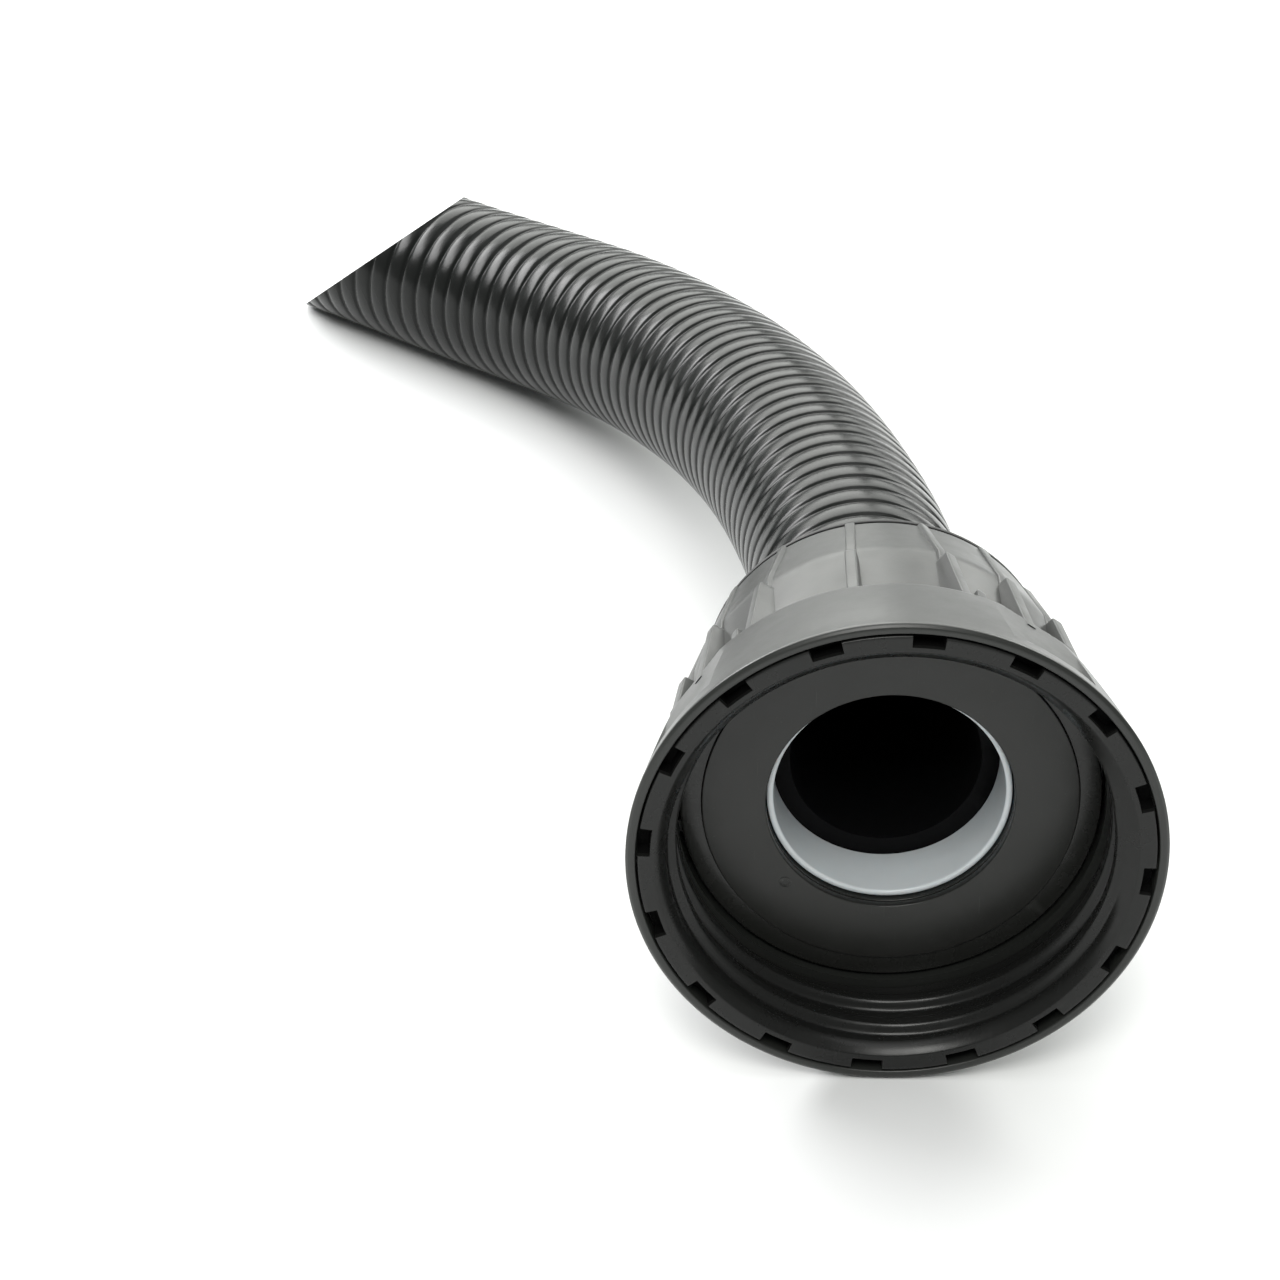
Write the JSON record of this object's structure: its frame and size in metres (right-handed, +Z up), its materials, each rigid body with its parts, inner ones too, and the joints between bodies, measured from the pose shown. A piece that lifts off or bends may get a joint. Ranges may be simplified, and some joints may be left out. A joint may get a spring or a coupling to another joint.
{
  "type": "pool vacuum hose end",
  "caption": "End of a ribbed pool suction hose with a large ribbed union nut that turns and slides on a swivelling, sealed tailpiece.",
  "frame": {"origin": "under the middle of the union nut, on the plane that the nut's rim and the hose lie on", "axes": "+Y runs along the nut's axis from its mouth to the hose, +Z is up, +X is to the right seen from the mouth"},
  "size_m": [0.1739, 0.334, 0.086],
  "materials": {
    "nut_plastic": "satin moulded, dark grey",
    "insert_plastic": "satin, blackish grey",
    "flange_plastic": "satin, scratched, blackish grey",
    "gasket_rubber": "smooth, dull black",
    "sleeve_plastic": "milky, slightly clear, pale blue-grey",
    "bearing_plastic": "waxy, natural white",
    "seal_rubber": "black, dull",
    "hose_plastic": "spiral ribbed, satin, blackish grey",
    "clamp_steel": "stainless, brushed"
  },
  "bodies": {
    "hose_end": {"hose_tube": "hose_plastic", "hose_sleeve": "sleeve_plastic", "hose_clamp": "clamp_steel"},
    "swivel_tailpiece": {"tailpiece": "flange_plastic", "face_gasket": "gasket_rubber", "bore_o_ring": "seal_rubber", "bearing_washer_front": "bearing_plastic", "bearing_washer_rear": "bearing_plastic", "retaining_half_left": "flange_plastic", "retaining_half_right": "flange_plastic", "rear_seal": "seal_rubber"},
    "sliding_ring": {"slip_ring": "bearing_plastic"},
    "union_nut": {"grip_shell": "nut_plastic", "threaded_insert": "insert_plastic", "rear_guard": "seal_rubber"}
  },
  "joints": [
    {"name": "tailpiece_swivel", "type": "hinge", "parent": "hose_end", "child": "swivel_tailpiece", "pos_m": [0, 0, 0.043], "axis": [0, 1, 0], "continuous": true},
    {"name": "nut_slide", "type": "slide", "parent": "swivel_tailpiece", "child": "sliding_ring", "axis": [0, 1, 0], "range_m": [0, 0.008]},
    {"name": "nut_spin", "type": "hinge", "parent": "sliding_ring", "child": "union_nut", "pos_m": [0, 0, 0.043], "axis": [0, 1, 0], "continuous": true}
  ]
}
